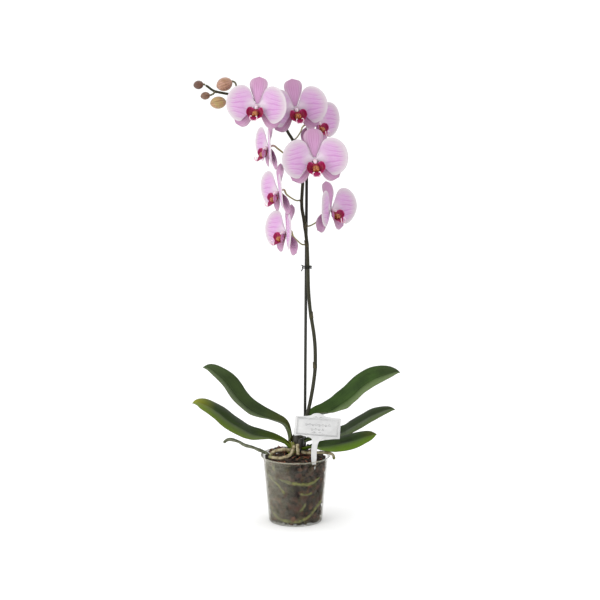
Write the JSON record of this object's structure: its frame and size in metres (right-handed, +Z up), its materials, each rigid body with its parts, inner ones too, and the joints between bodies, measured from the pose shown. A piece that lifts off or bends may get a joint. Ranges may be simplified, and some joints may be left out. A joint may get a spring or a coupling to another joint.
{
  "type": "potted orchid",
  "caption": "Moth orchid in a clear tapered nursery pot, with an arching spike of pink flowers tied to a stake, strap leaves and a plain label.",
  "frame": {"origin": "centre of the pot's flat underside", "axes": "+Z up along the pot's axis, -Y towards the side that the flowers and the label face, +X to the right from there"},
  "size_m": [0.3565, 0.1717, 0.7655],
  "materials": {
    "clear_plastic": "clear, slightly hazy thin plastic",
    "bark": "rough dark bark chips",
    "root_skin": "silvery cream root skin",
    "green_root": "damp green root skin",
    "crown_green": "smooth yellow-green",
    "leaf_green": "waxy satin dark green",
    "spike_green": "satin olive green",
    "stake_plastic": "satin green-black",
    "tie_wire": "plastic-coated wire",
    "tag_card": "satin white",
    "bud_skin": "satin brown-pink",
    "petal_pink": "soft pale orchid pink",
    "sepal_pink": "soft pale orchid pink",
    "lip_magenta": "velvety magenta",
    "stalk_green": "satin pale olive green"
  },
  "bodies": {
    "root": {"pot": "clear_plastic", "bark_medium": "bark", "crown": "crown_green", "leaf_1": "leaf_green", "leaf_2": "leaf_green", "leaf_3": "leaf_green", "leaf_4": "leaf_green", "leaf_5": "leaf_green", "aerial_root_left": "root_skin", "rim_root_right": "root_skin", "surface_root_1": "root_skin", "surface_root_2": "root_skin", "surface_root_3": "root_skin", "wall_root_1": "green_root", "wall_root_2": "green_root", "wall_root_3": "green_root", "wall_root_4": "green_root", "wall_root_5": "green_root", "wall_root_6": "green_root", "flower_spike": "spike_green", "stake": "stake_plastic", "stake_tie": "tie_wire", "name_tag": "tag_card", "bud_1": "bud_skin", "bud_2": "bud_skin", "bud_3": "bud_skin", "bud_4": "bud_skin", "flower_1_stalk": "stalk_green", "flower_1_sepals": "sepal_pink", "flower_1_petals": "petal_pink", "flower_1_lip": "lip_magenta", "flower_2_stalk": "stalk_green", "flower_2_sepals": "sepal_pink", "flower_2_petals": "petal_pink", "flower_2_lip": "lip_magenta", "flower_3_stalk": "stalk_green", "flower_3_sepals": "sepal_pink", "flower_3_petals": "petal_pink", "flower_3_lip": "lip_magenta", "flower_4_stalk": "stalk_green", "flower_4_sepals": "sepal_pink", "flower_4_petals": "petal_pink", "flower_4_lip": "lip_magenta", "flower_5_stalk": "stalk_green", "flower_5_sepals": "sepal_pink", "flower_5_petals": "petal_pink", "flower_5_lip": "lip_magenta", "flower_6_stalk": "stalk_green", "flower_6_sepals": "sepal_pink", "flower_6_petals": "petal_pink", "flower_6_lip": "lip_magenta", "flower_7_stalk": "stalk_green", "flower_7_sepals": "sepal_pink", "flower_7_petals": "petal_pink", "flower_7_lip": "lip_magenta", "flower_8_stalk": "stalk_green", "flower_8_sepals": "sepal_pink", "flower_8_petals": "petal_pink", "flower_8_lip": "lip_magenta"}
  },
  "joints": []
}
